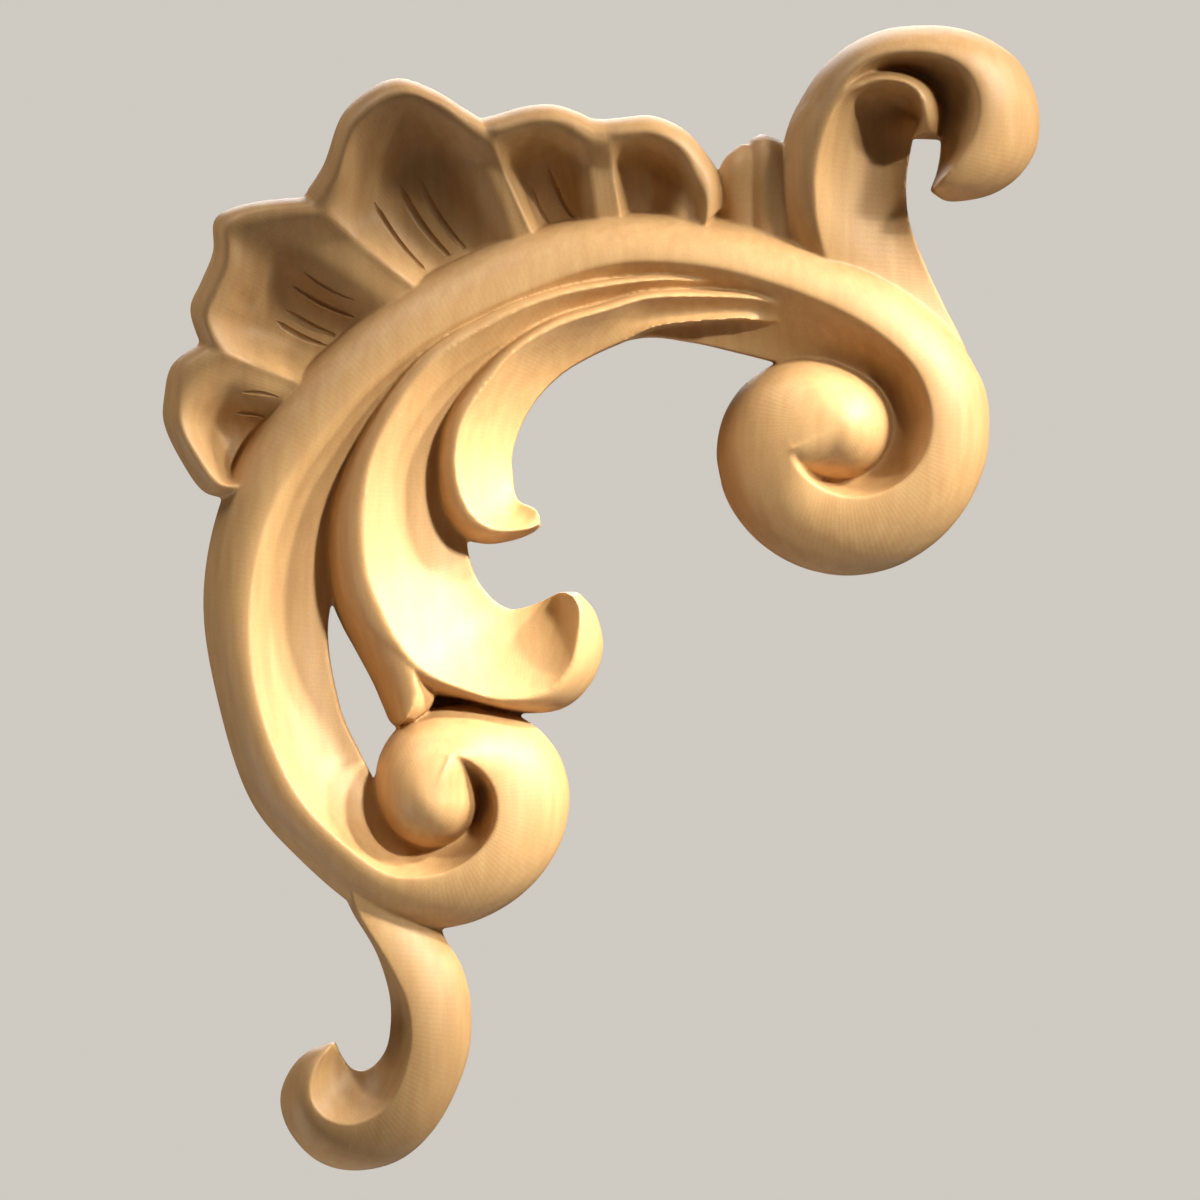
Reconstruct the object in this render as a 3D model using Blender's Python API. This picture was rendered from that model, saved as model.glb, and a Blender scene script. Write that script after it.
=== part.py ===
# Acanthus corner onlay, carved from one piece of fine pale wood.
#
# The front faces -Y, the flat back lies in the plane Y = 0, +Z is up and +X is to the right.
# The ornament is drawn on a square sheet, x to the right and y down, in sheet units that are a
# fixed share of the overall height. Every form is a sweep: a row of cross-sections, each of which
# runs from an outer edge over a crest to an inner edge. The sweeps grow into one body.

import math

import bmesh
import bpy
import numpy as np

# Driving sizes, in metres
OVERALL_HEIGHT = 0.230
BACK_EDGE = 0.0028          # least thickness along the outer edges
SCROLL_RELIEF = 0.0165      # crest of the C-scroll above the back
EYE_RELIEF = 0.0215         # top of the two rolled eyes
COVE_FLOOR = 0.0060         # hollow inside the C-scroll
LEAF_RELIEF = 0.0195        # crest of the large leaf
INNER_LEAF_RELIEF = 0.0205  # crest of the small leaf
HOOK_RELIEF = 0.0175        # crest of the upper hook
TAIL_RELIEF = 0.0125        # ridge of the lower tail
FAN_RELIEF = 0.0128         # rim of the fluted fan
FAN_RIDGE = 0.0066          # ridges of the fan where they run in under the scroll
FAN_FLOOR = 0.0072          # floor of the flutes there
FAN_BOWL = 0.0052           # how much deeper a flute is half-way up to the rim
FAN_CREST = 0.0030          # how much higher a ridge stands there
BUD_RELIEF = 0.0100         # front lobe of the bud
WEB_RELIEF = 0.0026         # low web under the large leaf

# How finely the body is fused
FUSE_GRAIN = 0.0007
TRIANGLES_WANTED = 9400

# The sheet: the ornament is 1147 units tall, and the origin lies behind the root of the leaves
SHEET_HEIGHT = 1147
SHEET_ORIGIN = (480, 440)
UNIT = OVERALL_HEIGHT / SHEET_HEIGHT
SINK = 0.002                # how far each sweep runs on behind the back before it is planed

# The two rolled ends: pivot on the sheet, then (angle, radius) stops in degrees and sheet units
UPPER_PIVOT = (838, 425)
UPPER_OUTER = ((-152, 56), (60, 55), (94, 62), (135, 87), (178, 117), (208, 132),
               (249, 145), (280, 153), (367, 152))
UPPER_CREST = ((208, 58), (248, 63), (282, 74), (318, 85), (340, 91), (367, 93))
UPPER_EYE = 56
LOWER_PIVOT = (430, 798)
LOWER_OUTER = ((-122, 132), (-60, 131), (0, 141), (20, 137), (45, 120), (62, 105), (86, 91),
               (113, 78), (144, 64), (162, 57), (190, 50), (425, 50))
LOWER_CREST = ((-139, 93), (-102, 79), (-60, 72), (-23, 71), (6, 66), (30, 58), (65, 50))
LOWER_EYE = 50
TURN_BLEND = 14             # degrees to either side over which a spiral's radius is averaged
EYE_TUCK = 4                # how far the cove runs in under an eye
EYE_CROWN = 0.4             # where an eye reaches its full height, as a share of its radius

WOOD_COLOUR = (0.53, 0.33, 0.17)


def clear_scene():
    for thing in list(bpy.data.objects):
        bpy.data.objects.remove(thing, do_unlink=True)


def wood():
    """Fine pale wood, sanded smooth."""
    material = bpy.data.materials.new("carved_limewood")
    material.use_nodes = True
    shader = material.node_tree.nodes["Principled BSDF"]
    shader.inputs["Base Color"].default_value = (*WOOD_COLOUR, 1.0)
    shader.inputs["Roughness"].default_value = 0.55
    shader.inputs["Metallic"].default_value = 0.0
    return material


def section(outer, crest, inner, crest_rise, inner_rise, edge_rise=0.0, dish=0.0,
            dome=0.0, reach=1.0):
    """One cross-section: three places on the sheet and their heights.

    dish hollows the stretch between crest and inner edge. dome, from 0 to 1, turns the profile
    into the rolled eye's quarter ellipse, which rises from the outer edge over a length reach.
    """
    return [*outer, *crest, *inner, crest_rise, inner_rise, edge_rise, dish, dome, reach]


def smooth_rows(rows, steps):
    """Rows between the given ones, on a smooth curve through them."""
    rows = np.array(rows, dtype=float)
    moved = np.abs(np.diff(rows[:, :6], axis=0)).sum(axis=1)
    time = np.concatenate([[0.0], np.cumsum(np.sqrt(moved) + 1e-6)])
    gap = np.diff(time)[:, None]
    slope = np.diff(rows, axis=0) / gap
    tangent = np.vstack([slope[:1], slope[:1], slope[1:]])[: len(rows)]
    if len(rows) > 2:
        inside = (slope[:-1] * gap[1:] + slope[1:] * gap[:-1]) / (gap[1:] + gap[:-1])
        tangent = np.vstack([slope[:1], inside, slope[-1:]])
    filled = []
    for index in range(len(rows) - 1):
        for step in range(steps):
            t = step / steps
            filled.append((2 * t**3 - 3 * t**2 + 1) * rows[index]
                          + (t**3 - 2 * t**2 + t) * gap[index] * tangent[index]
                          + (3 * t**2 - 2 * t**3) * rows[index + 1]
                          + (t**3 - t**2) * gap[index] * tangent[index + 1])
    filled.append(rows[-1])
    return filled


def ease(start, end, value):
    """0 before start, 1 past end, smooth between; end may lie below start."""
    share = min(max((value - start) / (end - start), 0.0), 1.0)
    return share * share * (3.0 - 2.0 * share)


def quarter_ellipse(share):
    return math.sqrt(max(0.0, 1.0 - share * share))


def coved(exponent):
    """How a hollow falls from 1 at the crest to 0 at the inner edge."""
    return lambda along: (1.0 - along) ** exponent


def profile(row, outer_exponent, fall, count):
    """The points of one section on the sheet, with their heights, from outer to inner edge."""
    outer, crest, inner = row[0:2], row[2:4], row[4:6]
    crest_rise, inner_rise, edge_rise, dish, dome, reach = row[6:12]
    run_out = np.hypot(*(crest - outer))
    run_in = np.hypot(*(inner - crest))
    points = []
    for step in range(count + 1):
        turn = math.radians(90.0 * step / count)
        along = 1.0 - math.cos(turn)
        height = edge_rise + (crest_rise - edge_rise) * math.sin(turn) ** (2.0 / outer_exponent)
        points.append((outer + (crest - outer) * along, height, along * run_out))
    for step in range(1, count + 1):
        along = step / count
        height = inner_rise + (crest_rise - inner_rise) * fall(along)
        height -= dish * 4.0 * along * (1.0 - along)
        points.append((crest + (inner - crest) * along, height, run_out + along * run_in))
    lifted = []
    for place, height, run in points:
        rolled = edge_rise + (EYE_RELIEF - edge_rise) * quarter_ellipse(1.0 - run / reach)
        lifted.append((place, height + (rolled - height) * dome))
    return lifted


def at(place, height):
    """A place on the sheet, at a height in front of the back."""
    return ((place[0] - SHEET_ORIGIN[0]) * UNIT, -height, (SHEET_ORIGIN[1] - place[1]) * UNIT)


def sweep(bm, rows, steps=4, outer_exponent=2.0, fall=coved(2.0), count=6):
    """A closed body through the rows, capped at both ends."""
    rings = []
    for row in smooth_rows(rows, steps):
        points = profile(row, outer_exponent, fall, count)
        ring = [at(points[0][0], -SINK)]
        ring += [at(place, height) for place, height in points]
        ring.append(at(points[-1][0], -SINK))
        rings.append([bm.verts.new(point) for point in ring])
    for near, far in zip(rings, rings[1:]):
        for index in range(len(near)):
            after = (index + 1) % len(near)
            bm.faces.new((near[index], near[after], far[after], far[index]))
    bm.faces.new(rings[0])
    bm.faces.new(rings[-1])


def spiral(stops, angle):
    """The radius at an angle, averaged over a few degrees so that it turns without a kink."""
    angles, radii = zip(*stops)
    nearby = angle + np.linspace(-TURN_BLEND, TURN_BLEND, 7)
    return float(np.mean(np.interp(nearby, angles, radii)))


def around(pivot, angle, radius):
    turn = math.radians(angle)
    return np.array((pivot[0] + radius * math.cos(turn), pivot[1] - radius * math.sin(turn)))


def volute_band(pivot, angles, outer_stops, crest_stops, eye_radius, closing):
    """Sections of the scroll round an eye; closing gives 0 to 1 where the groove runs out."""
    rows = []
    for angle in angles:
        reach = spiral(outer_stops, angle)
        rows.append(section(around(pivot, angle, reach),
                            around(pivot, angle, spiral(crest_stops, angle)),
                            around(pivot, angle, eye_radius - EYE_TUCK),
                            SCROLL_RELIEF, COVE_FLOOR, BACK_EDGE, 0.0, closing(angle), reach))
    return rows


def eye(bm, pivot, angles, outer_stops, eye_radius, closing):
    """The rolled end: sections that all run in to the pivot."""
    groove = eye_radius / spiral(outer_stops, angles[0])
    shut_edge = BACK_EDGE + (EYE_RELIEF - BACK_EDGE) * quarter_ellipse(groove)
    rows = []
    for angle in angles:
        reach = spiral(outer_stops, angle)
        edge = BACK_EDGE + (shut_edge - BACK_EDGE) * closing(angle)
        rows.append(section(around(pivot, angle, reach),
                            around(pivot, angle, reach * EYE_CROWN),
                            np.array(pivot, dtype=float), EYE_RELIEF, EYE_RELIEF, edge, 0.0,
                            1.0, reach))
    sweep(bm, rows, steps=2, count=7)


def c_scroll(bm):
    """The long C-scroll: outer round, sharp crest, hollow cove, and its two rolled ends."""
    lower = volute_band(LOWER_PIVOT, np.linspace(77, -120, 14), LOWER_OUTER, LOWER_CREST,
                        LOWER_EYE, lambda angle: ease(5, 62, angle))
    upper = volute_band(UPPER_PIVOT, np.linspace(367, 196, 12), UPPER_OUTER, UPPER_CREST,
                        UPPER_EYE, lambda angle: ease(265, 211, angle))
    arch = [section(outer, crest, inner, SCROLL_RELIEF, COVE_FLOOR, BACK_EDGE, 0.0, 0.0,
                    UPPER_EYE) for outer, crest, inner in ARCH_RAILS]
    sweep(bm, lower + arch + upper, steps=4)
    eye(bm, LOWER_PIVOT, range(65, 426, 15), LOWER_OUTER, LOWER_EYE,
        lambda angle: ease(365, 425, angle))
    eye(bm, UPPER_PIVOT, range(208, -153, -15), UPPER_OUTER, UPPER_EYE,
        lambda angle: ease(-95, -152, angle))


# The arch between the two rolled ends: outer edge, crest and inner edge on the sheet
ARCH_RAILS = (
    ((300, 860), (330, 830), (385, 800)),
    ((250, 800), (290, 780), (362, 757)),
    ((215, 690), (259, 695), (338, 700)),
    ((203, 600), (252, 610), (328, 620)),
    ((221, 500), (273, 510), (360, 530)),
    ((265, 416), (318, 442), (400, 480)),
    ((364, 316), (400, 360), (460, 420)),
    ((494, 242), (516, 297), (550, 370)),
    ((609, 214), (620, 264), (640, 338)),
    ((700, 215), (695, 266), (690, 342)),
    ((776, 231), (758, 280), (735, 352)),
    ((872, 269), (828, 306), (775, 362)),
    ((939, 319), (878, 335), (815, 372)),
    ((975, 366), (915, 372), (868, 385)),
)


def large_leaf(bm):
    rise = LEAF_RELIEF
    rows = [
        section((715, 278), (714, 283), (713, 290), rise * 0.65, rise * 0.60),
        section((663, 271), (665, 281), (668, 302), rise * 0.82, rise * 0.55),
        section((604, 276), (609, 287), (620, 320), rise * 0.90, rise * 0.5),
        section((545, 287), (553, 299), (575, 345), rise * 0.95, rise * 0.5),
        section((484, 309), (494, 324), (530, 380), rise, rise * 0.5),
        section((411, 352), (427, 371), (490, 420), rise, rise * 0.5),
        section((352, 440), (376, 454), (468, 470), rise, rise * 0.48),
        section((326, 512), (365, 520), (466, 520), rise, rise * 0.45),
        section((326, 570), (369, 573), (468, 552), rise * 0.98, rise * 0.45),
        section((340, 622), (385, 614), (476, 577), rise * 0.95, rise * 0.45),
        section((380, 668), (402, 645), (486, 592), rise * 0.92, rise * 0.44),
        section((420, 692), (422, 668), (496, 602), rise * 0.88, rise * 0.42),
        section((466, 702), (455, 685), (509, 609), rise * 0.84, rise * 0.42),
        section((515, 713), (500, 698), (522, 608), rise * 0.82, rise * 0.43),
        section((562, 709), (542, 693), (535, 604), rise * 0.84, rise * 0.46),
        section((593, 680), (568, 668), (546, 599), rise * 0.90, rise * 0.52),
        section((603, 643), (577, 635), (556, 594), rise * 0.96, rise * 0.64),
        section((594, 610), (579, 609), (562, 592), rise * 0.98, rise * 0.8),
        section((578, 592), (573, 596), (566, 592), rise * 0.94, rise * 0.88),
    ]
    sweep(bm, rows, outer_exponent=1.6, fall=coved(1.7))


def side_lobe(bm):
    """The short pointed lobe under the large leaf's wall, which ends on the lower volute."""
    rise = LEAF_RELIEF
    rows = [
        section((327, 583), (372, 585), (392, 580), rise * 0.90, rise * 0.5),
        section((340, 622), (385, 616), (404, 615), rise * 0.90, rise * 0.5),
        section((356, 652), (402, 645), (414, 650), rise * 0.89, rise * 0.62),
        section((372, 682), (414, 671), (424, 672), rise * 0.86, rise * 0.6),
        section((382, 705), (418, 692), (435, 692), rise * 0.84, rise * 0.62),
        section((389, 721), (415, 706), (430, 708), rise * 0.82, rise * 0.62),
        section((397, 728), (407, 717), (414, 720), rise * 0.78, rise * 0.62),
    ]
    sweep(bm, rows, outer_exponent=1.7, fall=coved(1.5))


def inner_leaf(bm):
    """The small leaf with the two ribs that run out of it along the arch."""
    rise = INNER_LEAF_RELIEF
    rows = [
        section((792, 303), (791, 307), (786, 322), rise * 0.50, rise * 0.41),
        section((774, 296), (773, 304), (765, 322), rise * 0.64, rise * 0.55, 0, rise * 0.04),
        section((754, 290), (753, 300), (744, 320), rise * 0.72, rise * 0.66, 0, rise * 0.10),
        section((701, 286), (701, 298), (700, 322), rise * 0.80, rise * 0.72, 0, rise * 0.14),
        section((645, 288), (648, 300), (655, 328), rise * 0.86, rise * 0.70, 0, rise * 0.12),
        section((601, 300), (609, 311), (628, 340), rise * 0.92, rise * 0.62, 0, rise * 0.06),
        section((549, 315), (557, 328), (592, 356), rise * 0.96, rise * 0.52),
        section((503, 344), (516, 352), (562, 374), rise, rise * 0.48),
        section((466, 378), (487, 385), (537, 399), rise, rise * 0.45),
        section((440, 424), (464, 422), (520, 428), rise, rise * 0.43),
        section((434, 467), (457, 460), (512, 456), rise * 0.98, rise * 0.42),
        section((440, 508), (463, 495), (513, 478), rise * 0.95, rise * 0.42),
        section((461, 537), (479, 520), (515, 493), rise * 0.92, rise * 0.45),
        section((488, 544), (497, 529), (520, 502), rise * 0.90, rise * 0.5),
        section((514, 540), (515, 530), (529, 506), rise * 0.90, rise * 0.62),
        section((532, 533), (530, 528), (537, 511), rise * 0.90, rise * 0.76),
        section((541, 526), (540, 524), (540, 519), rise * 0.86, rise * 0.84),
    ]
    sweep(bm, rows, outer_exponent=1.8, fall=coved(1.7))


def tail(bm):
    rise = TAIL_RELIEF
    edge = BACK_EDGE
    rows = [
        section((438, 890), (350, 885), (340, 885), rise, rise * 0.3, edge),
        section((441, 929), (360, 915), (352, 912), rise, rise * 0.3, edge),
        section((462, 968), (390, 965), (377, 955), rise, rise * 0.3, edge),
        section((471, 1010), (408, 1005), (390, 1000), rise, rise * 0.3, edge),
        section((467, 1060), (411, 1045), (389, 1038), rise, rise * 0.3, edge),
        section((433, 1131), (393, 1098), (377, 1063), rise, rise * 0.3, edge),
        section((392, 1164), (368, 1118), (364, 1071), rise, rise * 0.32, edge),
        section((350, 1171), (347, 1123), (355, 1070), rise, rise * 0.34, edge),
        section((315, 1160), (326, 1116), (349, 1067), rise, rise * 0.36, edge),
        section((287, 1128), (313, 1100), (345, 1062), rise, rise * 0.4, edge),
        section((280, 1098), (312, 1081), (341, 1056), rise * 0.97, rise * 0.46, edge),
        section((290, 1070), (318, 1064), (338, 1050), rise * 0.92, rise * 0.56, edge),
        section((308, 1052), (326, 1052), (336, 1045), rise * 0.84, rise * 0.66, edge),
        section((330, 1043), (332, 1043), (334, 1042), rise * 0.72, rise * 0.7, edge),
    ]
    sweep(bm, rows, outer_exponent=1.7, fall=coved(1.5))


def hook_stem(bm):
    """The stem that rises from the scroll, scooped, with the scoop's end rolled over as a lip."""
    rise = HOOK_RELIEF
    edge = BACK_EDGE
    rows = [
        section((880, 400), (930, 400), (977, 397), rise * 0.4, rise * 0.26, edge),
        section((850, 345), (900, 352), (967, 352), rise * 0.4, rise * 0.24, edge, rise * -0.08),
        section((812, 290), (855, 300), (944, 304), rise * 0.48, rise * 0.24, edge, rise * -0.10),
        section((781, 238), (827, 260), (926, 266), rise * 0.66, rise * 0.28, edge, rise * -0.06),
        section((780, 200), (816, 215), (909, 220), rise * 0.86, rise * 0.34, edge, rise * 0.04),
        section((781, 165), (816, 170), (906, 183), rise * 0.96, rise * 0.46, edge, rise * 0.16),
        section((790, 122), (827, 126), (911, 148), rise, rise * 0.46, edge, rise * 0.22),
        section((815, 88), (842, 99), (914, 134), rise, rise * 0.52, edge, rise * 0.30),
        section((850, 72), (862, 88), (915, 126), rise * 0.99, rise * 0.58, edge, rise * 0.38),
        section((884, 68), (880, 83), (915, 124), rise * 0.98, rise * 0.62, edge, rise * 0.42),
        section((914, 74), (900, 85), (915, 124), rise * 0.97, rise * 0.64, edge, rise * 0.36),
        section((934, 88), (915, 95), (915, 125), rise * 0.96, rise * 0.66, edge, rise * 0.24),
        section((942, 106), (921, 108), (915, 127), rise * 0.94, rise * 0.68, edge, rise * 0.12),
        section((943, 124), (923, 120), (914, 131), rise * 0.88, rise * 0.70, edge),
        section((941, 139), (925, 132), (913, 138), rise * 0.76, rise * 0.68, edge),
    ]
    sweep(bm, rows, outer_exponent=2.0, fall=coved(1.6))


def hook_band(bm):
    """The broad outer face of the hook, with the crescent recess on its inner side."""
    rise = HOOK_RELIEF
    edge = BACK_EDGE
    rows = [
        section((781, 238), (826, 260), (828, 262), rise * 0.66, rise * 0.64, edge),
        section((780, 180), (814, 190), (817, 192), rise * 0.93, rise * 0.9, edge),
        section((787, 130), (822, 136), (826, 138), rise, rise * 0.96, edge),
        section((802, 97), (837, 101), (841, 104), rise, rise * 0.94, edge),
        section((823, 67), (853, 76), (858, 82), rise, rise * 0.86, edge),
        section((850, 44), (872, 62), (876, 78), rise, rise * 0.7, edge),
        section((885, 29), (896, 56), (892, 77), rise, rise * 0.54, edge),
        section((920, 25), (922, 56), (908, 80), rise, rise * 0.44, edge),
        section((955, 27), (945, 61), (922, 86), rise, rise * 0.38, edge),
        section((988, 38), (963, 72), (930, 95), rise, rise * 0.36, edge),
        section((1020, 62), (974, 90), (935, 104), rise, rise * 0.36, edge),
        section((1038, 102), (978, 112), (938, 116), rise, rise * 0.38, edge),
        section((1038, 143), (972, 138), (941, 133), rise, rise * 0.42, edge),
        section((1021, 174), (960, 159), (941, 150), rise, rise * 0.46, edge),
        section((994, 193), (947, 174), (939, 164), rise * 0.97, rise * 0.46, edge),
        section((966, 200), (939, 182), (936, 176), rise * 0.92, rise * 0.46, edge),
        section((946, 200), (934, 188), (932, 186), rise * 0.84, rise * 0.46, edge),
        section((934, 193), (932, 191), (931, 190), rise * 0.7, rise * 0.46, edge),
    ]
    sweep(bm, rows, outer_exponent=1.5, fall=coved(1.6))


def bud(bm):
    """The small two-lobed bud between the fan and the hook."""
    rise = BUD_RELIEF
    edge = BACK_EDGE
    side = [
        section((719, 245), (748, 245), (766, 245), rise * 0.84, edge, edge),
        section((717, 200), (746, 200), (766, 204), rise * 0.88, edge, edge),
        section((719, 170), (746, 171), (766, 172), rise * 0.88, edge, edge),
        section((728, 154), (750, 158), (768, 160), rise * 0.80, edge, edge),
        section((742, 143), (756, 148), (768, 150), rise * 0.62, edge, edge),
    ]
    front = [
        section((744, 250), (772, 250), (804, 250), rise * 0.98, edge),
        section((741, 205), (769, 203), (804, 200), rise, edge),
        section((739, 172), (767, 172), (800, 170), rise, edge),
        section((744, 151), (767, 153), (792, 152), rise * 0.96, edge),
        section((752, 138), (768, 142), (784, 144), rise * 0.82, edge),
        section((762, 133), (769, 136), (777, 138), rise * 0.5, edge),
    ]
    sweep(bm, side, fall=quarter_ellipse)
    sweep(bm, front, fall=quarter_ellipse)


def web(bm):
    """A low web that ties the large leaf and its side lobe to the rolled end below them."""
    low = WEB_RELIEF
    rows = [section((405, 688), (430, 688), (480, 695), low, low),
            section((405, 735), (430, 735), (480, 735), low, low)]
    sweep(bm, rows)


# Each lobe of the fan: its outline from ridge to ridge, where the two ridges meet the scroll, and
# the share of the lobe's width that its flute takes before the plain band that ends it
FAN_LOBES = (
    (((222, 498), (204, 492), (184, 466), (163, 420), (164, 395), (171, 366), (199, 343)),
     (272, 468), (345, 400), 0.86),
    (((199, 343), (190, 308), (201, 281), (213, 250), (214, 220), (240, 205), (303, 196)),
     (345, 400), (445, 310), 0.86),
    (((303, 196), (323, 165), (345, 110), (395, 78), (433, 89), (464, 108), (481, 118)),
     (445, 310), (545, 262), 0.86),
    (((481, 118), (494, 115), (525, 106), (552, 104), (579, 112), (592, 118), (605, 119)),
     (545, 262), (625, 245), 0.72),
    (((605, 119), (624, 117), (650, 115), (681, 127), (704, 150), (720, 178), (721, 220)),
     (625, 245), (672, 262), 0.74),
)
FAN_RIM_INSET = 20
FAN_RIM_DIP = 0.06          # how much lower the rim is at the ridges, as a share of its height
FAN_WALL_END = 0.32         # where the wall inside the rim ends, on the way to the scroll
NEAR_SIDE_END = 0.3         # where a flute's sharp near side ends, as a share of its width
FAR_SIDE_START = 0.50       # where its far wall begins to rise
FAN_LOBE_STEPS = 22


def flute(along, width):
    """How deep a flute is from ridge to ridge: a sharp near edge, a far wall, then a flat band."""
    near_side = math.sin(math.pi / 2 * min(along / (width * NEAR_SIDE_END), 1.0))
    return near_side * ease(width, width * FAR_SIDE_START, along)


def fan_wall(along):
    """How the wall inside the rim falls from 1 at the rim to 0 on the floor of a flute."""
    return 1.0 - ease(0.0, FAN_WALL_END, along)


def fan(bm):
    """Five fluted lobes: a thick round rim, broad ridges and hollow flutes between them."""
    rows = []
    for outline, first_root, last_root, width in FAN_LOBES:
        rail = smooth_rows([section(place, place, place, 0, 0) for place in outline],
                           FAN_LOBE_STEPS)
        for step in range(FAN_LOBE_STEPS):
            along = step / FAN_LOBE_STEPS
            outer = rail[round(along * (len(rail) - 1))][:2]
            root = np.array(first_root) + (np.array(last_root) - np.array(first_root)) * along
            inward = (root - outer) / np.hypot(*(root - outer))
            hollow = flute(along, width)
            rows.append(section(outer, outer + inward * FAN_RIM_INSET, root,
                                FAN_RELIEF * (1.0 - FAN_RIM_DIP * (1.0 - hollow)),
                                FAN_RIDGE + (FAN_FLOOR - FAN_RIDGE) * hollow, BACK_EDGE,
                                FAN_BOWL * hollow - FAN_CREST * (1.0 - hollow)))
    sweep(bm, rows, steps=1, fall=fan_wall, count=14)


def raw_forms():
    """All sweeps in one mesh, still overlapping."""
    bm = bmesh.new()
    for form in (c_scroll, large_leaf, side_lobe, web, inner_leaf, tail, hook_stem, hook_band,
                 bud, fan):
        form(bm)
    bmesh.ops.remove_doubles(bm, verts=bm.verts, dist=1e-7)
    bmesh.ops.recalc_face_normals(bm, faces=bm.faces)
    mesh = bpy.data.meshes.new("raw_forms")
    bm.to_mesh(mesh)
    bm.free()
    return mesh


def evaluated_mesh(thing):
    graph = bpy.context.evaluated_depsgraph_get()
    return bpy.data.meshes.new_from_object(thing.evaluated_get(graph))


def planing_block():
    """A block behind the plane Y = 0, which planes the back flat."""
    bpy.ops.mesh.primitive_cube_add(size=1.0)
    block = bpy.context.object
    block.name = "planing_block"
    block.scale = (OVERALL_HEIGHT * 2, OVERALL_HEIGHT, OVERALL_HEIGHT * 2)
    block.location = (0, OVERALL_HEIGHT / 2, 0)
    block.hide_render = True
    block.display_type = "WIRE"
    return block


def onlay():
    """The forms fused into one body, thinned, and planed flat behind."""
    body = bpy.data.objects.new("acanthus_onlay", raw_forms())
    bpy.context.scene.collection.objects.link(body)
    fuse = body.modifiers.new("fuse", "REMESH")
    fuse.mode = "VOXEL"
    fuse.voxel_size = FUSE_GRAIN
    soften = body.modifiers.new("soften", "SMOOTH")
    soften.factor = 0.5
    soften.iterations = 2
    faces = evaluated_mesh(body)
    faces.calc_loop_triangles()
    thin = body.modifiers.new("thin", "DECIMATE")
    thin.ratio = TRIANGLES_WANTED / len(faces.loop_triangles)
    plane = body.modifiers.new("plane_back", "BOOLEAN")
    plane.operation = "DIFFERENCE"
    plane.solver = "EXACT"
    plane.object = planing_block()
    body.data.materials.append(wood())
    body.data.shade_smooth()
    return body


clear_scene()
onlay()
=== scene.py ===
# %% [markdown]
# # A carved corner onlay with acanthus leaves
#
# The real thing is one piece of limewood, cut to its outline and carved in the round-over way that
# furniture carvers call applique work: a C-scroll with two rolled ends, leaves inside it, a fluted
# fan and a hooked scroll outside it, and a tail below. It is glued to a door or a mirror frame by
# its flat back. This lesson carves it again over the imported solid, which fixes its size and place.

# %% Load the frame
import math

import bmesh
import bpy
import numpy as np
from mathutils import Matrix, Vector
from mathutils.bvhtree import BVHTree


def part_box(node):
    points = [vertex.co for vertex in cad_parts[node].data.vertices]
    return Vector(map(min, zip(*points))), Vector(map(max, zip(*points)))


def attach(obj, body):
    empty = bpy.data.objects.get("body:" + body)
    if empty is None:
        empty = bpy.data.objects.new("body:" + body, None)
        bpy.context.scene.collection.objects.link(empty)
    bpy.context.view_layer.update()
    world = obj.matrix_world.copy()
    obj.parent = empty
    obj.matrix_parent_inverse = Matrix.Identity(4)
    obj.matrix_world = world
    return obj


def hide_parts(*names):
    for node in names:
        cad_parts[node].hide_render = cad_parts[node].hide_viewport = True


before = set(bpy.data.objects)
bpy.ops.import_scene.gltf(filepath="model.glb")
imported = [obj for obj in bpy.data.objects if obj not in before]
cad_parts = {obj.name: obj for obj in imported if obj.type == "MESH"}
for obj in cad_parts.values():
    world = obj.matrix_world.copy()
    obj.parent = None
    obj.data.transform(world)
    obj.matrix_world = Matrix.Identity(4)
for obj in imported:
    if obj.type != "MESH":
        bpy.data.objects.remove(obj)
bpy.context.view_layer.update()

NODE = "acanthus_onlay"
low, high = (Vector(corner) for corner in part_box(NODE))
print("packed solid, mm:", [round(1000 * value, 1) for value in high - low])

# %% [markdown]
# ## The drawing sheet
#
# A carver starts from a drawing. Here it is a square sheet with x to the right and y down. The
# outline of the ornament is about 1146 sheet units tall, so one unit follows from the height of
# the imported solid. The heights of the relief are real sizes in metres.

# %% The sheet and the heights of the relief
SHEET_SIDE = 1200
OUTLINE_HEIGHT = 1146.45    # from the top of the hook to the foot of the tail
SHEET_ORIGIN = (480, 440)   # where the origin of the frame lies on the sheet
UNIT = (high.z - low.z) / OUTLINE_HEIGHT
BACK_EDGE = 0.0028          # least thickness along the outer edges
SCROLL_RELIEF = 0.0165      # crest of the C-scroll above the back
EYE_RELIEF = 0.0215         # top of the two rolled eyes
COVE_FLOOR = 0.0060         # hollow inside the C-scroll
LEAF_RELIEF = 0.0195        # crest of the large leaf
INNER_LEAF_RELIEF = 0.0205  # crest of the small leaf
HOOK_RELIEF = 0.0175        # crest of the upper hook
TAIL_RELIEF = 0.0125        # ridge of the lower tail
FAN_RELIEF = 0.0128         # rim of the fluted fan
FAN_RIDGE = 0.0066          # ridges of the fan where they run in under the scroll
FAN_FLOOR = 0.0072          # floor of the flutes there
FAN_BOWL = 0.0052           # how much deeper a flute is half-way up to the rim
FAN_CREST = 0.0030          # how much higher a ridge stands there
BUD_RELIEF = 0.0100         # front lobe of the bud
WEB_RELIEF = 0.0026         # low web under the large leaf
SINK = 0.002                # how far the sweeps run behind the back, until it is planed


def at(place, height):
    """A place on the sheet, at a height in front of the back."""
    return ((place[0] - SHEET_ORIGIN[0]) * UNIT, -height, (SHEET_ORIGIN[1] - place[1]) * UNIT)


print("one sheet unit is", round(UNIT * 1000, 4), "mm")

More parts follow.
